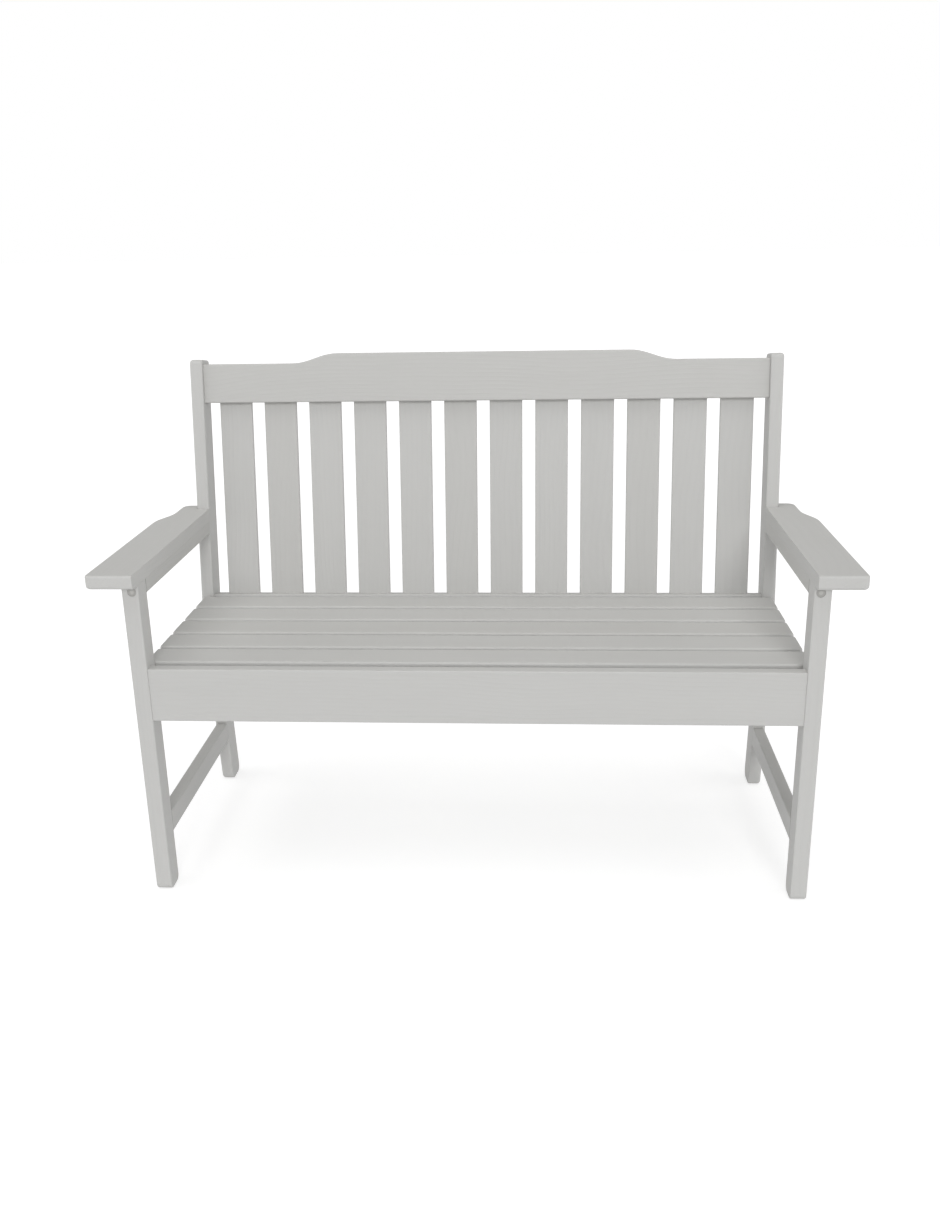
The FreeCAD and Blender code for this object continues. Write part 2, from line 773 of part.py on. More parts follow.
def house_slats(body, name, low_up):
    """Cut the housings that let the back slats' ends into a rail's rear face."""
    lengths = (
        size("back_slat_width") + clearance, size("back_slat_thickness") * 2, size("slat_housing") + lead
    )
    for number in range(BACK_SLATS):
        corner = (slat_left_x(number) - clearance / 2, slat_in - clearance / 2, low_up)
        box(body, "Subtractive", name + "_housing_" + str(number + 1), corner, lengths)


def build_top_rail():
    """Top back rail: raised centre with ogee shoulders, slat ends housed in its rear face."""
    body = new_body("top_back_rail")
    end = inner_x - gap
    crest = size("crest_half_length")
    shoulder = crest + size("crest_run")
    corners = [
        (-end, top_rail_low_up), (end, top_rail_low_up), (end, top_rail_end_up),
        (shoulder, top_rail_end_up), (crest, crest_up), (-crest, crest_up),
        (-shoulder, top_rail_end_up), (-end, top_rail_end_up),
    ]
    # The XZ plane's normal points to -Y, so the sketch is padded toward the front from the rear face.
    sketch = outline(body, "XZ_Plane", corners)
    sketch.setExpression(".AttachmentOffset.Base.z", (-rail_back_in).text)
    pad(body, sketch, size("rail_thickness"))
    shoulder_x = shoulder.value
    crest_x = crest.value
    round_edges(
        body, "top_back_rail_ogee", size("ogee_radius"),
        lambda e: runs_along(e, 1) and min(
            abs(abs(e.CenterOfMass.x) - shoulder_x), abs(abs(e.CenterOfMass.x) - crest_x)
        ) < NEAR,
    )
    end_x = end.value
    round_edges(
        body, "top_back_rail_ease", edge_round,
        lambda e: not runs_along(e, 1) and abs(e.CenterOfMass.x) < end_x - NEAR,
    )
    house_slats(body, "top_rail", top_rail_low_up - lead)
    drill_back_rail(body, "top_rail", top_bolt_up, top_dowel_up, slat_screw_ups()[1])
    lean(body)
    return body


def build_lower_rail():
    """Lower back rail behind the seat, its top level with the slats."""
    body = new_body("lower_back_rail")
    length = (inner_x - gap) * 2
    box(
        body, "Additive", "lower_back_rail_board",
        (gap - inner_x, rail_in, lower_rail_low_up),
        (length, size("rail_thickness"), size("lower_rail_height")),
    )
    round_edges(body, "lower_back_rail_ease", edge_round, lambda e: runs_along(e, 0))
    house_slats(body, "lower_rail", lower_rail_top_up - size("slat_housing"))
    drill_back_rail(body, "lower_rail", lower_bolt_up, lower_dowel_up, slat_screw_ups()[0])
    pocket = body.newObject("PartDesign::SubtractiveBox", "lower_rail_mortise")
    bind(pocket, "Length", size("tenon_thickness") + clearance)
    bind(pocket, "Width", size("bearer_tenon_length") + lead + overcut)
    bind(pocket, "Height", bearer_tenon_height + clearance)
    low = bearer_tenon_low - clearance / 2
    away_y = rail_front_y(bearer_tenon_low) - lead - bend_y
    away_z = low - bend_z
    place(
        pocket, -size("tenon_thickness") / 2 - clearance / 2,
        away_y * lean_cos - away_z * lean_sin, away_y * lean_sin + away_z * lean_cos,
        FreeCAD.Vector(1, 0, 0), size("back_angle"),
    )
    lean(body)
    return body


def build_back_slat(number):
    """Back slat: upright board with its ends housed in the two back rails."""
    name = "back_slat_" + str(number + 1).zfill(2)
    body = new_body(name)
    low = lower_rail_top_up - size("slat_housing") + gap
    high = top_rail_low_up + size("slat_housing") - gap
    box(
        body, "Additive", name + "_board",
        (slat_left_x(number), slat_in, low),
        (size("back_slat_width"), size("back_slat_thickness"), high - low),
    )
    round_edges(body, name + "_ease", edge_round, lambda e: runs_along(e, 2))
    middle = slat_left_x(number) + size("back_slat_width") / 2
    for tag, up in zip(("low", "top"), slat_screw_ups()):
        start = (middle, rail_back_in, up)
        drill(body, name + "_hole_" + tag, start, "-y", screw_bore, size("back_slat_thickness"))
        drill(body, name + "_head_" + tag, start, "-y", screw_head_bore, head_seat)
    lean(body)
    return body


def rod(name, diameter, length, start, heading):
    """A round rod from a start point along an axis, for shanks, heads, dowels and plugs."""
    cylinder = doc.addObject("Part::Cylinder", name)
    axis, angle = AXIS_TURNS[heading]
    cylinder.Placement = FreeCAD.Placement(FreeCAD.Vector(), FreeCAD.Rotation(axis, angle))
    bind(cylinder, "Radius", diameter / 2)
    bind(cylinder, "Height", length)
    place(cylinder, *start)
    return cylinder


BACK = {"x": "-x", "-x": "x", "y": "-y", "-y": "y", "z": "-z", "-z": "z"}
STEPS = {
    "x": (1, 0, 0), "-x": (-1, 0, 0), "y": (0, 1, 0), "-y": (0, -1, 0), "z": (0, 0, 1), "-z": (0, 0, -1)
}


def moved(start, heading, distance):
    """A point moved a distance along an axis."""
    return tuple(value + distance * step for value, step in zip(start, STEPS[heading]))


def fused(name, head, shank):
    """A head and a shank made one."""
    joined = doc.addObject("Part::Fuse", name)
    joined.Base = head
    joined.Tool = shank
    return joined


def screw(name, start, heading, diameter, head_diameter, head_height, length):
    """A screw: flat head at the start point and a plain shank along the axis."""
    head = rod(name + "_head", head_diameter, head_height, start, heading)
    shank = rod(name + "_shank", diameter, length, start, heading)
    return fused(name, head, shank)


def group(name, members, leaning=False):
    """Identical fasteners in one node."""
    bundle = doc.addObject("Part::Compound", name)
    bundle.Label = name
    bundle.Links = members
    if leaning:
        lean(bundle)
    return bundle


def wood_screw(name, start, heading, length):
    """A short countersunk wood screw."""
    return screw(
        name, start, heading, size("screw_diameter"),
        size("screw_head_diameter"), size("screw_head_height"), length,
    )


def joint_bolt(name, seat, inward):
    """A connector bolt: its head lies outside the seat and its shank runs inward to the nut."""
    outward = BACK[inward]
    head = rod(name + "_head", size("bolt_head_diameter"), size("bolt_head_height"), seat, outward)
    start = moved(seat, outward, size("plug_recess"))
    length = size("bolt_length") + size("plug_recess")
    shank = rod(name + "_shank", size("bolt_diameter"), length, start, inward)
    return fused(name, head, shank)


def barrel_nut(name, middle, heading):
    """A barrel nut with a cross hole for its bolt; heading is the bolt's axis."""
    start = moved(middle, "y", -size("nut_length") / 2)
    barrel = rod(name + "_barrel", size("nut_diameter"), size("nut_length"), start, "y")
    far = moved(middle, BACK[heading], size("nut_diameter"))
    hole = rod(name + "_hole", bolt_bore, size("nut_diameter") * 2, far, heading)
    nut = doc.addObject("Part::Cut", name)
    nut.Base = barrel
    nut.Tool = hole
    return nut


def build_apron_fasteners():
    """Bolts through the front legs and barrel nuts in the apron."""
    bolts = []
    nuts = []
    outer = inner_x + size("leg_thickness") - head_pocket + gap
    for side in (-1, 1):
        inward = "x" if side < 0 else "-x"
        for number, height in enumerate(apron_bolt_heights, start=1):
            tag = ("left_" if side < 0 else "right_") + str(number)
            bolts.append(joint_bolt("apron_bolt_" + tag, (outer * side, apron_mid_y, height), inward))
            middle = ((inner_x - nut_from_end) * side, apron_mid_y + clearance / 2, height)
            nuts.append(barrel_nut("apron_nut_" + tag, middle, inward))
    return [group("apron_bolts", bolts), group("apron_barrel_nuts", nuts)]


def build_back_fasteners():
    """Bolts, barrel nuts and dowels at the ends of the back rails, and the slats' screws."""
    bolts = []
    nuts = []
    dowels = []
    outer = inner_x + size("post_thickness") - head_pocket + gap
    for side in (-1, 1):
        inward = "x" if side < 0 else "-x"
        for label, bolt_up, dowel_up in (
            ("top", top_bolt_up, top_dowel_up), ("low", lower_bolt_up, lower_dowel_up)
        ):
            tag = label + ("_left" if side < 0 else "_right")
            start = (outer * side, bolt_in, bolt_up)
            bolts.append(joint_bolt("back_bolt_" + tag, start, inward))
            middle = ((inner_x - post_nut_from_end) * side, bolt_in + clearance / 2, bolt_up)
            nuts.append(barrel_nut("back_nut_" + tag, middle, inward))
            start = ((inner_x + dowel_half) * side, rail_mid_in, dowel_up)
            name = "back_dowel_" + tag
            dowels.append(rod(name, size("dowel_diameter"), size("dowel_length"), start, inward))
    screws = []
    length = size("back_slat_thickness") + size("screw_bite") - sink
    for number in range(BACK_SLATS):
        middle = slat_left_x(number) + size("back_slat_width") / 2
        for tag, up in zip(("low", "top"), slat_screw_ups()):
            start = (middle, rail_back_in - sink, up)
            screws.append(wood_screw("slat_screw_" + str(number + 1) + "_" + tag, start, "-y", length))
    return [
        group("back_rail_bolts", bolts, True),
        group("back_rail_barrel_nuts", nuts, True),
        group("back_rail_dowels", dowels, True),
        group("back_slat_screws", screws, True),
    ]


def build_arm_fasteners():
    """Long screws into the ends of the arm rails, their plugs, and the armrests' screws."""
    screws = []
    front_plugs = []
    rear_plugs = []
    arm_screws = []
    post_rear_y = post_front_y(plug_z) + size("post_depth") / lean_cos
    rear_seat_y = post_rear_y - rear_pocket
    front_length = size("leg_depth") - plug_pocket + size("bolt_head_height") + size("long_screw_reach")
    rear_length = size("post_depth") / lean_cos - rear_pocket + size("bolt_head_height")
    rear_length = rear_length + size("long_screw_reach")
    recess = size("plug_recess")
    for side in (-1, 1):
        tag = "left" if side < 0 else "right"
        across = plug_in * side
        start = (across, leg_face_y + plug_pocket - size("bolt_head_height") - gap / 2, plug_z)
        screws.append(
            screw("arm_screw_front_" + tag, start, "y", size("long_screw_diameter"),
                  size("bolt_head_diameter"), size("bolt_head_height"), front_length)
        )
        start = (across, rear_seat_y + size("bolt_head_height") + gap / 2, plug_z)
        screws.append(
            screw("arm_screw_rear_" + tag, start, "-y", size("long_screw_diameter"),
                  size("bolt_head_diameter"), size("bolt_head_height"), rear_length)
        )
        thickness = size("plug_thickness") - gap
        start = (across, leg_face_y + recess, plug_z)
        front_plugs.append(rod("front_plug_" + tag, size("plug_diameter"), thickness - gap, start, "y"))
        start = (across, rear_seat_y + size("bolt_head_height") + gap * 2, plug_z)
        rear_plugs.append(rod("rear_plug_" + tag, size("plug_diameter"), thickness - gap, start, "y"))
        length = size("arm_rail_height") - sink + size("screw_bite")
        for number, along in enumerate(armrest_screw_ys(), start=1):
            middle = (inner_x + size("arm_rail_thickness") / 2) * side
            start = (middle, along, arm_under - size("arm_rail_height") + sink)
            arm_screws.append(wood_screw("armrest_screw_" + tag + str(number), start, "z", length))
    return [
        group("arm_rail_screws", screws),
        group("front_plugs", front_plugs),
        group("rear_plugs", rear_plugs),
        group("armrest_screws", arm_screws),
    ]


def build_seat_screws():
    """Screws up through the three bearers into every seat slat."""
    screws = []
    side_x = inner_x + size("seat_rail_thickness") / 2
    length = size("seat_rail_height") - sink + size("screw_bite")
    low = seat_under - size("seat_rail_height") + sink
    for number in range(SEAT_SLATS):
        along = seat_slat_y(number) + size("seat_slat_width") / 2
        for tag, across in (("left", -side_x), ("centre", as_size(0)), ("right", side_x)):
            start = (across, along, low)
            screws.append(wood_screw("seat_screw_" + tag + str(number + 1), start, "z", length))
    return [group("seat_slat_screws", screws)]


def check(pieces):
    """Stop unless every object computed and every piece is a valid solid."""
    doc.recompute()
    for item in doc.Objects:
        if "Invalid" in item.State or "Error" in item.State:
            raise RuntimeError("object failed: " + item.Name)
    for piece in pieces:
        shape = piece.Shape
        if shape.isNull() or not shape.isValid() or not shape.Solids:
            raise RuntimeError("bad shape: " + piece.Label)


nodes = []
for side, word in ((-1, "left"), (1, "right")):
    nodes.append(build_front_leg(word + "_front_leg", side))
    nodes.append(build_rear_post(word + "_rear_post", side))
    nodes.append(build_armrest(word + "_armrest", side))
    nodes.append(build_arm_rail(word + "_arm_rail", side))
    nodes.append(build_seat_rail(word + "_seat_rail", side))
    nodes.append(build_stretcher(word + "_side_stretcher", side))
nodes.append(build_apron())
nodes.append(build_bearer())
nodes.append(build_lower_rail())
nodes.append(build_top_rail())
for slat in range(BACK_SLATS):
    nodes.append(build_back_slat(slat))
for slat in range(SEAT_SLATS):
    nodes.append(build_seat_slat(slat))
nodes.extend(build_arm_fasteners())
nodes.extend(build_apron_fasteners())
nodes.extend(build_back_fasteners())
nodes.extend(build_seat_screws())

check(nodes)
for node in nodes:
    node.Shape.exportStep("parts/" + node.Label + ".step")
    print(node.Label, len(node.Shape.Solids), round(node.Shape.Volume, 1))
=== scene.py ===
import math

import bpy
from mathutils import Matrix, Vector


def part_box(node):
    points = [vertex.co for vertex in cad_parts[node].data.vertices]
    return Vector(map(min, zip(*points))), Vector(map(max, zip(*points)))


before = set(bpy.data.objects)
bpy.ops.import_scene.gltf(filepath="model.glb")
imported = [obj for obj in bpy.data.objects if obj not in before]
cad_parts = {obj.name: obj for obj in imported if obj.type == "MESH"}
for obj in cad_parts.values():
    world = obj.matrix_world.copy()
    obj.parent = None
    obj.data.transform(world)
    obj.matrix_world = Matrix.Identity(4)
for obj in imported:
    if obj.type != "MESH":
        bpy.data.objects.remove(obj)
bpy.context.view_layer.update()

# The bench stands on z = 0 with its front towards -Y. All lengths are in metres.
BACK_LEAN = math.radians(8.2)

# The plugs stand in pairs, mirrored about the middle plane, all at one height.
plugs_lo, plugs_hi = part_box("front_plugs")
PLUG_Z = (plugs_lo[2] + plugs_hi[2]) / 2
PLUG_RADIUS = (plugs_hi[2] - plugs_lo[2]) / 2
PLUG_X = plugs_hi[0] - PLUG_RADIUS

# Paint as it shows in even light: a pale, slightly warm grey.
PAINT = (0.560, 0.558, 0.545)
PAINT_LIGHTER = (0.568, 0.566, 0.553)
PAINT_DARKER = (0.552, 0.549, 0.534)
# The warmer, darker grey that up-facing faces are tinted toward, and that the painted joint shade is
# mixed toward.
TINT_AND_SHADE_GREY = (0.44, 0.43, 0.40)


# ---------------------------------------------------------------- node helpers

def new_group(name, inputs, outputs):
    """An empty shader node group. inputs and outputs are (name, socket type, default) in order."""
    group = bpy.data.node_groups.new(name, "ShaderNodeTree")
    for direction, sockets in (("INPUT", inputs), ("OUTPUT", outputs)):
        for label, kind, default in sockets:
            socket = group.interface.new_socket(label, in_out=direction, socket_type=kind)
            if default is not None:
                socket.default_value = default
    entry = group.nodes.new("NodeGroupInput")
    leave = group.nodes.new("NodeGroupOutput")
    return group, entry, leave


def maths(tree, operation, first, second=None, clamp=False):
    """One Math node on two sockets or numbers; gives the result's socket."""
    node = tree.nodes.new("ShaderNodeMath")
    node.operation = operation
    node.use_clamp = clamp
    for index, value in enumerate((first, second)):
        if value is None:
            continue
        if isinstance(value, (int, float)):
            node.inputs[index].default_value = value
        else:
            tree.links.new(value, node.inputs[index])
    return node.outputs[0]


def plus(result, addend):
    """Give a Multiply Add node its addend; gives the same socket back."""
    result.node.inputs[2].default_value = addend
    return result


def ramp(tree, value, low, high, to_low=0.0, to_high=1.0):
    """Smooth step of a value from low..high to to_low..to_high."""
    node = tree.nodes.new("ShaderNodeMapRange")
    node.interpolation_type = "SMOOTHSTEP"
    tree.links.new(value, node.inputs["Value"])
    node.inputs["From Min"].default_value = low
    node.inputs["From Max"].default_value = high
    node.inputs["To Min"].default_value = to_low
    node.inputs["To Max"].default_value = to_high
    return node.outputs["Result"]


def stretched_noise(tree, vector, along, across, detail=3.0, roughness=0.55, offset=0.0):
    """Noise drawn out along local X: 'along' and 'across' are cycles per metre."""
    stretch = tree.nodes.new("ShaderNodeMapping")
    stretch.inputs["Location"].default_value = (offset, offset, offset)
    stretch.inputs["Scale"].default_value = (along, across, across)
    tree.links.new(vector, stretch.inputs["Vector"])
    noise = tree.nodes.new("ShaderNodeTexNoise")
    noise.inputs["Scale"].default_value = 1.0
    noise.inputs["Detail"].default_value = detail
    noise.inputs["Roughness"].default_value = roughness
    tree.links.new(stretch.outputs["Vector"], noise.inputs["Vector"])
    return noise.outputs["Fac"]


def mix_colour(tree, amount, first, second):
    """One colour Mix node. amount is a socket or a number, the others sockets or colours."""
    node = tree.nodes.new("ShaderNodeMix")
    node.data_type = "RGBA"
    sockets = (node.inputs["Factor"], node.inputs[6], node.inputs[7])
    for socket, value in zip(sockets, (amount, first, second)):
        if isinstance(value, bpy.types.NodeSocket):
            tree.links.new(value, socket)
        elif isinstance(value, tuple):
            socket.default_value = (*value, 1.0)
        else:
            socket.default_value = value
    return node.outputs[2]


# ---------------------------------------------------------------- shared effects

def make_board_grain():
    """Softwood showing faintly through paint, in a board whose length is local X.

    Growth rings are rings round a far-off centre line along X, bent by slow noise, so they run as
    long lines on the faces and as arcs on the ends. Fibres and pores are noise drawn out along X.
    Tone is 0.5 on plain wood; Height rises on the hard rings and falls in the pores.
    """
    group, entry, leave = new_group(
        "board_grain",
        [("Vector", "NodeSocketVector", None), ("Rings per metre", "NodeSocketFloat", 150.0)],
        [("Tone", "NodeSocketFloat", None), ("Height", "NodeSocketFloat", None)],
    )
    vector = entry.outputs["Vector"]
    wander = group.nodes.new("ShaderNodeTexNoise")
    wander.inputs["Scale"].default_value = 1.6
    wander.inputs["Detail"].default_value = 2.0
    group.links.new(vector, wander.inputs["Vector"])
    shift = group.nodes.new("ShaderNodeVectorMath")
    shift.operation = "MULTIPLY_ADD"
    group.links.new(wander.outputs["Color"], shift.inputs[0])
    shift.inputs[1].default_value = (0.0, 0.075, 0.075)
    group.links.new(vector, shift.inputs[2])
    parts = group.nodes.new("ShaderNodeSeparateXYZ")
    group.links.new(shift.outputs["Vector"], parts.inputs[0])
    y_square = maths(group, "POWER", maths(group, "ADD", parts.outputs["Y"], 1.31), 2.0)
    z_square = maths(group, "POWER", maths(group, "ADD", parts.outputs["Z"], 1.17), 2.0)
    reach = maths(group, "SQRT", maths(group, "ADD", y_square, z_square))
    ring = maths(group, "FRACT", maths(group, "MULTIPLY", reach, entry.outputs["Rings per metre"]))
    hard = ramp(group, ring, 0.45, 0.92)
    fall = ramp(group, ring, 0.92, 1.0, 1.0, 0.0)
    latewood = maths(group, "MULTIPLY", hard, fall)
    fibre = stretched_noise(group, vector, 5.0, 420.0, 4.0, 0.62)
    pore = ramp(group, stretched_noise(group, vector, 16.0, 900.0, 2.0, 0.5, 3.7), 0.60, 0.74)
    streak = stretched_noise(group, vector, 1.1, 26.0, 3.0, 0.5, 7.9)
    tone = plus(maths(group, "MULTIPLY_ADD", latewood, -0.22), 0.5)
    streak_part = maths(group, "MULTIPLY", maths(group, "SUBTRACT", streak, 0.5), 0.9)
    fibre_part = maths(group, "MULTIPLY", maths(group, "SUBTRACT", fibre, 0.5), 0.55)
    tone = maths(group, "ADD", maths(group, "ADD", tone, streak_part), fibre_part)
    tone = maths(group, "SUBTRACT", tone, maths(group, "MULTIPLY", pore, 0.16), clamp=True)
    height = maths(group, "ADD", maths(group, "MULTIPLY", latewood, 0.5), fibre_part)
    height = maths(group, "SUBTRACT", height, maths(group, "MULTIPLY", pore, 0.6))
    group.links.new(tone, leave.inputs["Tone"])
    group.links.new(height, leave.inputs["Height"])
    return group


def make_paint_film():
    """Brushed paint: fine brush lines along X, a slow unevenness of the film, and a few specks.

    Height is the film's surface; Gloss is 0 where the film is thin and dull and 1 where it is full.
    """
    group, entry, leave = new_group(
        "paint_film",
        [("Vector", "NodeSocketVector", None)],
        [("Height", "NodeSocketFloat", None), ("Gloss", "NodeSocketFloat", None)],
    )
    vector = entry.outputs["Vector"]
    brush = stretched_noise(group, vector, 7.0, 650.0, 2.0, 0.5, 1.3)
    sag = stretched_noise(group, vector, 9.0, 34.0, 2.0, 0.5, 5.1)
    specks = group.nodes.new("ShaderNodeTexVoronoi")
    specks.inputs["Scale"].default_value = 95.0
    group.links.new(vector, specks.inputs["Vector"])
    speck = ramp(group, specks.outputs["Distance"], 0.03, 0.10, 1.0, 0.0)
    height = maths(group, "MULTIPLY", brush, 0.6)
    height = maths(group, "ADD", height, maths(group, "MULTIPLY", sag, 0.8))
    height = maths(group, "ADD", height, maths(group, "MULTIPLY", speck, 0.35))
    gloss = plus(maths(group, "MULTIPLY_ADD", sag, 0.7, clamp=True), 0.15)
    group.links.new(height, leave.inputs["Height"])
    group.links.new(gloss, leave.inputs["Gloss"])
    return group


def make_rub_and_highlight_mask():
    """Lighter arrises: 1 where the surface turns sharply within Reach, broken up by noise; light wear on
    the frame, painted highlight on the seat.
    """
    group, entry, leave = new_group(
        "edge_wear_and_highlight",
        [("Vector", "NodeSocketVector", None), ("Reach", "NodeSocketFloat", 0.003)],
        [("Mask", "NodeSocketFloat", None)],
    )
    soft = group.nodes.new("ShaderNodeBevel")
    soft.samples = 6
    group.links.new(entry.outputs["Reach"], soft.inputs["Radius"])
    plain = group.nodes.new("ShaderNodeNewGeometry")
    dot = group.nodes.new("ShaderNodeVectorMath")
    dot.operation = "DOT_PRODUCT"
    group.links.new(soft.outputs["Normal"], dot.inputs[0])
    group.links.new(plain.outputs["True Normal"], dot.inputs[1])
    turn = ramp(group, maths(group, "SUBTRACT", 1.0, dot.outputs["Value"]), 0.01, 0.16)
    break_up = group.nodes.new("ShaderNodeTexNoise")
    break_up.inputs["Scale"].default_value = 42.0
    break_up.inputs["Detail"].default_value = 4.0
    group.links.new(entry.outputs["Vector"], break_up.inputs["Vector"])
    patchy = ramp(group, break_up.outputs["Fac"], 0.40, 0.62, 0.25, 1.0)
    group.links.new(maths(group, "MULTIPLY", turn, patchy), leave.inputs["Mask"])
    return group


def make_top_tint_and_joint_shade():
    """A warmer, darker tint on whatever faces up, stronger in slow patches, and painted shade in the
    joints, where nearby parts close in within 12 mm.
    """
    group, entry, leave = new_group(
        "up_tint_and_joint_shade",
        [("Vector", "NodeSocketVector", None)],
        [("Mask", "NodeSocketFloat", None), ("Painted joint shade", "NodeSocketFloat", None)],
    )
    plain = group.nodes.new("ShaderNodeNewGeometry")
    parts = group.nodes.new("ShaderNodeSeparateXYZ")
    group.links.new(plain.outputs["Normal"], parts.inputs[0])
    upward = ramp(group, parts.outputs["Z"], 0.35, 0.95)
    patch = group.nodes.new("ShaderNodeTexNoise")
    patch.inputs["Scale"].default_value = 7.0
    patch.inputs["Detail"].default_value = 3.0
    group.links.new(entry.outputs["Vector"], patch.inputs["Vector"])
    in_patches = ramp(group, patch.outputs["Fac"], 0.3, 0.7, 0.7, 1.0)
    close = group.nodes.new("ShaderNodeAmbientOcclusion")
    close.samples = 6
    close.inputs["Distance"].default_value = 0.012
    # Painted shade: darker where nearby surfaces close in, as in the joints between parts.
    shade_in_joints = ramp(group, close.outputs["AO"], 0.45, 0.95, 1.0, 0.0)
    group.links.new(maths(group, "MULTIPLY", upward, in_patches), leave.inputs["Mask"])
    group.links.new(shade_in_joints, leave.inputs["Painted joint shade"])
    return group


GRAIN = make_board_grain()
FILM = make_paint_film()
RUB_HIGHLIGHT_GROUP = make_rub_and_highlight_mask()
TINT_SHADE_GROUP = make_top_tint_and_joint_shade()


# ---------------------------------------------------------------- materials

def place_group(tree, group, vector):
    """One use of a shared effect, reading the given coordinates."""
    node = tree.nodes.new("ShaderNodeGroup")
    node.node_tree = group
    tree.links.new(vector, node.inputs["Vector"])
    return node


def new_material(name, turn=(0.0, 0.0, 0.0), offset=(0.0, 0.0, 0.0)):
    """A material with its Principled shader and object coordinates turned so the grain is along X."""
    material = bpy.data.materials.new(name)
    material.use_nodes = True
    tree = material.node_tree
    shader = tree.nodes["Principled BSDF"]
    where = tree.nodes.new("ShaderNodeTexCoord")
    turned = tree.nodes.new("ShaderNodeMapping")
    turned.inputs["Rotation"].default_value = turn
    turned.inputs["Location"].default_value = offset
    tree.links.new(where.outputs["Object"], turned.inputs["Vector"])
    return material, tree, shader, turned.outputs["Vector"]


def painted_board(name, turn, offset, colour, seat_wear_and_highlight):
    """Opaque brushed paint over softwood, satin, a little darker and warmer on top, with painted shade in
    the joints and lighter arrises.

    The last argument tells the seat's arrises, lightened wide and pale as painted highlight over a little
    wear, from the frame's, only just rubbed.
    """
    material, tree, shader, along = new_material(name, turn, offset)
    grain = place_group(tree, GRAIN, along)
    film = place_group(tree, FILM, along)
    rub_highlight_node = place_group(tree, RUB_HIGHLIGHT_GROUP, along)
    rub_highlight_node.inputs["Reach"].default_value = 0.006 if seat_wear_and_highlight else 0.003
    tint_shade_node = place_group(tree, TINT_SHADE_GROUP, along)
    darker = tuple(channel * 0.972 for channel in colour)
    lighter = tuple(channel * 1.022 for channel in colour)
    tone = mix_colour(tree, grain.outputs["Tone"], darker, lighter)
    # Up-facing faces are mixed a little toward the warmer, darker grey, more in slow patches.
    tone = mix_colour(tree, maths(tree, "MULTIPLY", tint_shade_node.outputs["Mask"], 0.22), tone, TINT_AND_SHADE_GREY)
    # Painted shade in the joints: the tone is mixed toward the darker grey where nearby parts close in.
    tone = mix_colour(tree, maths(tree, "MULTIPLY", tint_shade_node.outputs["Painted joint shade"], 0.15), tone, TINT_AND_SHADE_GREY)
    # Painted highlight on the seat's arrises, wide and pale over a little wear; the frame's arrises are
    # only lightly rubbed.
    edge = tuple(channel * (1.22 if seat_wear_and_highlight else 1.08) for channel in colour)
    rub_highlight_amount = maths(tree, "MULTIPLY", rub_highlight_node.outputs["Mask"], 0.85 if seat_wear_and_highlight else 0.35)
    tone = mix_colour(tree, rub_highlight_amount, tone, edge)
    tree.links.new(tone, shader.inputs["Base Color"])
    rough = maths(tree, "SUBTRACT", 0.62, maths(tree, "MULTIPLY", film.outputs["Gloss"], 0.16))
    rough = maths(tree, "ADD", rough, maths(tree, "MULTIPLY", tint_shade_node.outputs["Mask"], 0.10))
    tree.links.new(rough, shader.inputs["Roughness"])
    shader.inputs["Specular IOR Level"].default_value = 0.32
    wood_bump = tree.nodes.new("ShaderNodeBump")
    wood_bump.inputs["Strength"].default_value = 0.35
    wood_bump.inputs["Distance"].default_value = 0.0006
    tree.links.new(grain.outputs["Height"], wood_bump.inputs["Height"])
    film_bump = tree.nodes.new("ShaderNodeBump")
    film_bump.inputs["Strength"].default_value = 0.25
    film_bump.inputs["Distance"].default_value = 0.0004
    tree.links.new(film.outputs["Height"], film_bump.inputs["Height"])
    tree.links.new(wood_bump.outputs["Normal"], film_bump.inputs["Normal"])
    tree.links.new(film_bump.outputs["Normal"], shader.inputs["Normal"])
    return material


def plug_material():
    """Matte cover plug: a pale domed middle inside a darker ring of painted shadow, where a recess round
    it would shade it, with a faint moulded mottle.
    """
    material, tree, shader, vector = new_material("cover_plug")
    mottle = tree.nodes.new("ShaderNodeTexNoise")
    mottle.inputs["Scale"].default_value = 900.0
    mottle.inputs["Detail"].default_value = 3.0
    tree.links.new(vector, mottle.inputs["Vector"])
    parts = tree.nodes.new("ShaderNodeSeparateXYZ")
    tree.links.new(vector, parts.inputs[0])
    across = maths(tree, "SUBTRACT", maths(tree, "ABSOLUTE", parts.outputs["X"]), PLUG_X)
    upward = maths(tree, "SUBTRACT", parts.outputs["Z"], PLUG_Z)
    square = maths(tree, "ADD", maths(tree, "POWER", across, 2.0), maths(tree, "POWER", upward, 2.0))
    reach = maths(tree, "SQRT", square)
    # Painted shadow: the plug is darker in a ring outside its middle, where a recess round it would shade
    # it.
    rim_shade = ramp(tree, reach, PLUG_RADIUS * 0.30, PLUG_RADIUS * 0.62)
    tone = mix_colour(tree, mottle.outputs["Fac"], (0.47, 0.465, 0.445), (0.52, 0.515, 0.495))
    tone = mix_colour(tree, maths(tree, "MULTIPLY", rim_shade, 0.60), tone, (0.34, 0.335, 0.32))
    tree.links.new(tone, shader.inputs["Base Color"])
    shader.inputs["Roughness"].default_value = 0.6
    dome = maths(tree, "MULTIPLY", maths(tree, "SUBTRACT", 1.0, rim_shade), 4.0)
    bump = tree.nodes.new("ShaderNodeBump")
    bump.inputs["Strength"].default_value = 0.4
    bump.inputs["Distance"].default_value = 0.0003
    tree.links.new(maths(tree, "ADD", mottle.outputs["Fac"], dome), bump.inputs["Height"])
    tree.links.new(bump.outputs["Normal"], shader.inputs["Normal"])
    return material


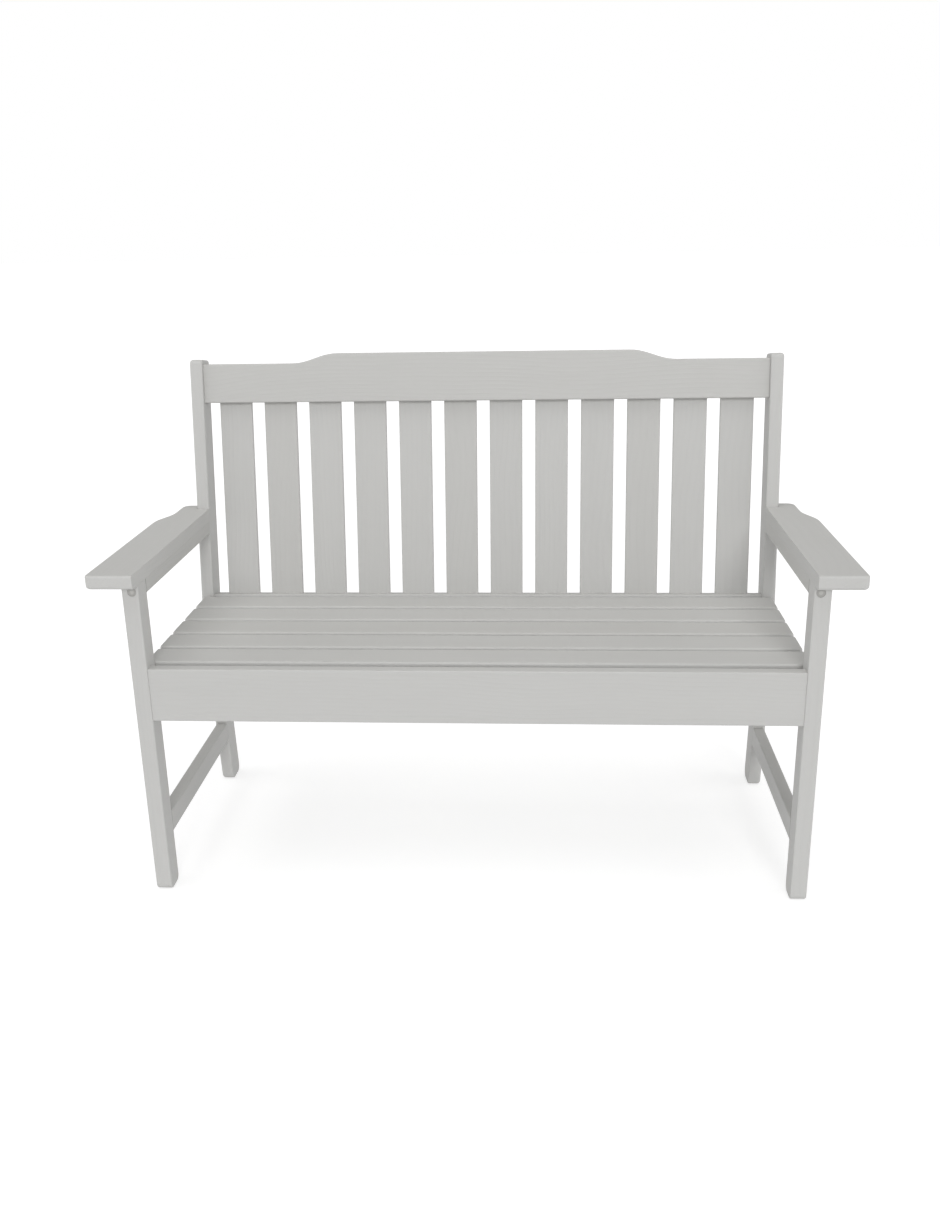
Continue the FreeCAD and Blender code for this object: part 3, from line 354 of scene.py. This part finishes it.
def zinc_material():
    """Zinc plated steel: pale metal, softly mottled, with fine turned scratches."""
    material, tree, shader, vector = new_material("zinc_plate")
    spangle = tree.nodes.new("ShaderNodeTexVoronoi")
    spangle.inputs["Scale"].default_value = 700.0
    tree.links.new(vector, spangle.inputs["Vector"])
    scratch = stretched_noise(tree, vector, 60.0, 2600.0, 2.0, 0.5)
    tone = mix_colour(tree, spangle.outputs["Distance"], (0.60, 0.60, 0.61), (0.72, 0.72, 0.70))
    tree.links.new(tone, shader.inputs["Base Color"])
    shader.inputs["Metallic"].default_value = 1.0
    tree.links.new(ramp(tree, scratch, 0.3, 0.7, 0.32, 0.48), shader.inputs["Roughness"])
    return material


def beech_material():
    """Bare beech dowel: warm pale wood with short dark flecks along its length."""
    material, tree, shader, vector = new_material("bare_beech")
    fleck = ramp(tree, stretched_noise(tree, vector, 150.0, 1400.0, 2.0, 0.5), 0.55, 0.72)
    fibre = stretched_noise(tree, vector, 20.0, 600.0, 3.0, 0.55, 2.0)
    tone = mix_colour(tree, fibre, (0.66, 0.50, 0.33), (0.76, 0.61, 0.43))
    tone = mix_colour(tree, maths(tree, "MULTIPLY", fleck, 0.4), tone, (0.42, 0.27, 0.15))
    tree.links.new(tone, shader.inputs["Base Color"])
    tree.links.new(ramp(tree, fibre, 0.3, 0.7, 0.55, 0.7), shader.inputs["Roughness"])
    return material


# Turns that bring a board's own length onto X, where the grain runs.
ALONG_X = (0.0, 0.0, 0.0)
ALONG_Y = (0.0, 0.0, -math.pi / 2)
ALONG_Z = (0.0, math.pi / 2, 0.0)
ALONG_BACK = (BACK_LEAN, math.pi / 2, 0.0)

# Boards cut from different timber: each has its own place in the grain and its own shade.
TIMBERS = (
    ((0.00, 0.00, 0.00), PAINT),
    ((2.13, 0.31, 0.47), PAINT_LIGHTER),
    ((4.71, 0.63, 0.19), PAINT_DARKER),
)

boards = {}


def board(direction, turn, timber):
    """The painted board material for a use or grain direction and a timber, made once."""
    key = f"paint_{direction}_{'abc'[timber]}"
    if key not in boards:
        offset, colour = TIMBERS[timber]
        boards[key] = painted_board(key, turn, offset, colour, direction == "seat")
    return boards[key]


# Which way the grain runs in each node, and the timber it is cut from.
GRAIN_OF = {
    "front_apron": ("x", ALONG_X, 0),
    "lower_back_rail": ("x", ALONG_X, 1),
    # The top rail takes the darker shade as painted shade, bringing its tone down toward the back slats'.
    "top_back_rail": ("x", ALONG_X, 2),
    "centre_seat_bearer": ("y", ALONG_Y, 2),
}
for side, timber in (("left", 0), ("right", 1)):
    GRAIN_OF[side + "_front_leg"] = ("z", ALONG_Z, timber)
    GRAIN_OF[side + "_rear_post"] = ("back", ALONG_BACK, 1 - timber)
    GRAIN_OF[side + "_armrest"] = ("y", ALONG_Y, 1 - timber)
    GRAIN_OF[side + "_arm_rail"] = ("y", ALONG_Y, 2)
    GRAIN_OF[side + "_seat_rail"] = ("y", ALONG_Y, timber)
    GRAIN_OF[side + "_side_stretcher"] = ("y", ALONG_Y, timber)
SLAT_ORDER = (0, 2, 1, 0, 1, 2, 0, 1, 0, 2, 1, 0)
for number, timber in enumerate(SLAT_ORDER, 1):
    GRAIN_OF[f"back_slat_{number:02d}"] = ("back", ALONG_BACK, timber)
for number, timber in enumerate((1, 0, 2, 1, 0), 1):
    GRAIN_OF[f"seat_slat_{number}"] = ("seat", ALONG_X, timber)

FITTINGS = {"plug": plug_material(), "steel": zinc_material(), "dowel": beech_material()}

for name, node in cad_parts.items():
    for place in node.material_slots:
        slot_name = place.material.name if place.material else ""
        place.material = board(*GRAIN_OF[name]) if name in GRAIN_OF else FITTINGS[slot_name]


# ---------------------------------------------------------------- floor, light and camera

def floor_material(lit=0.27, shown=0.58):
    """Plain pale floor, luminous: 'lit' is what it adds to the bench, 'shown' what the camera sees."""
    material = bpy.data.materials.new("studio_floor")
    material.use_nodes = True
    shader = material.node_tree.nodes["Principled BSDF"]
    shader.inputs["Base Color"].default_value = (0.60, 0.60, 0.60, 1.0)
    shader.inputs["Roughness"].default_value = 1.0
    shader.inputs["Specular IOR Level"].default_value = 0.0
    shader.inputs["Emission Color"].default_value = (1.0, 1.0, 1.0, 1.0)
    ray = material.node_tree.nodes.new("ShaderNodeLightPath")
    glow = plus(maths(material.node_tree, "MULTIPLY_ADD", ray.outputs["Is Camera Ray"], shown - lit), lit)
    material.node_tree.links.new(glow, shader.inputs["Emission Strength"])
    return material


def make_floor(half=40.0):
    """A flat square floor at the bench's feet."""
    mesh = bpy.data.meshes.new("studio_floor")
    corners = [(-half, -half, 0.0), (half, -half, 0.0), (half, half, 0.0), (-half, half, 0.0)]
    mesh.from_pydata(corners, [], [(0, 1, 2, 3)])
    mesh.materials.append(floor_material())
    floor = bpy.data.objects.new("studio_floor", mesh)
    bpy.context.scene.collection.objects.link(floor)


def soft_sun(name, toward, spread, strength):
    """Even light from a direction; spread is its angular width in degrees, so shadows stay soft."""
    data = bpy.data.lights.new(name, "SUN")
    data.angle = math.radians(spread)
    data.energy = strength
    lamp = bpy.data.objects.new(name, data)
    lamp.rotation_mode = "QUATERNION"
    lamp.rotation_quaternion = (-Vector(toward)).to_track_quat("-Z", "Y")
    bpy.context.scene.collection.objects.link(lamp)


def make_surround(ambient, shown):
    """An even pale surround: 'ambient' is what lights the bench, 'shown' what the camera sees."""
    world = bpy.data.worlds.new("studio_surround")
    bpy.context.scene.world = world
    world.use_nodes = True
    tree = world.node_tree
    tree.nodes.clear()
    lit = tree.nodes.new("ShaderNodeBackground")
    lit.inputs["Strength"].default_value = ambient
    lit.inputs["Color"].default_value = (1.0, 1.0, 1.0, 1.0)
    seen = tree.nodes.new("ShaderNodeBackground")
    seen.inputs["Strength"].default_value = shown
    seen.inputs["Color"].default_value = (1.0, 1.0, 1.0, 1.0)
    ray = tree.nodes.new("ShaderNodeLightPath")
    either = tree.nodes.new("ShaderNodeMixShader")
    out = tree.nodes.new("ShaderNodeOutputWorld")
    tree.links.new(ray.outputs["Is Camera Ray"], either.inputs["Fac"])
    tree.links.new(lit.outputs[0], either.inputs[1])
    tree.links.new(seen.outputs[0], either.inputs[2])
    tree.links.new(either.outputs[0], out.inputs["Surface"])


def make_camera(location, heading, tilt, roll, lens):
    """A camera turned about Z by heading, tipped by tilt, then rolled, in degrees."""
    data = bpy.data.cameras.new("camera")
    data.lens = lens
    data.sensor_width = 36.0
    data.clip_end = 200.0
    camera = bpy.data.objects.new("camera", data)
    turn = Matrix.Rotation(math.radians(heading), 4, "Z")
    tip = Matrix.Rotation(math.radians(90.0 + tilt), 4, "X")
    spin = Matrix.Rotation(math.radians(roll), 4, "Z")
    camera.matrix_world = Matrix.Translation(location) @ turn @ tip @ spin
    bpy.context.scene.collection.objects.link(camera)
    bpy.context.scene.camera = camera


make_floor()
make_surround(ambient=0.42, shown=1.0)
soft_sun("key", (0.12, -1.0, 0.40), 20.0, 0.95)
soft_sun("overhead", (-0.1, -0.15, 1.0), 50.0, 0.85)
soft_sun("left_fill", (-1.0, -0.1, 0.25), 50.0, 0.66)
soft_sun("right_fill", (1.0, -0.1, 0.25), 50.0, 0.66)
make_camera((0.1203, -2.0246, 1.1346), 3.889, -18.517, -1.129, 34.118)

scene = bpy.context.scene
scene.view_settings.view_transform = "Standard"
scene.view_settings.look = "None"
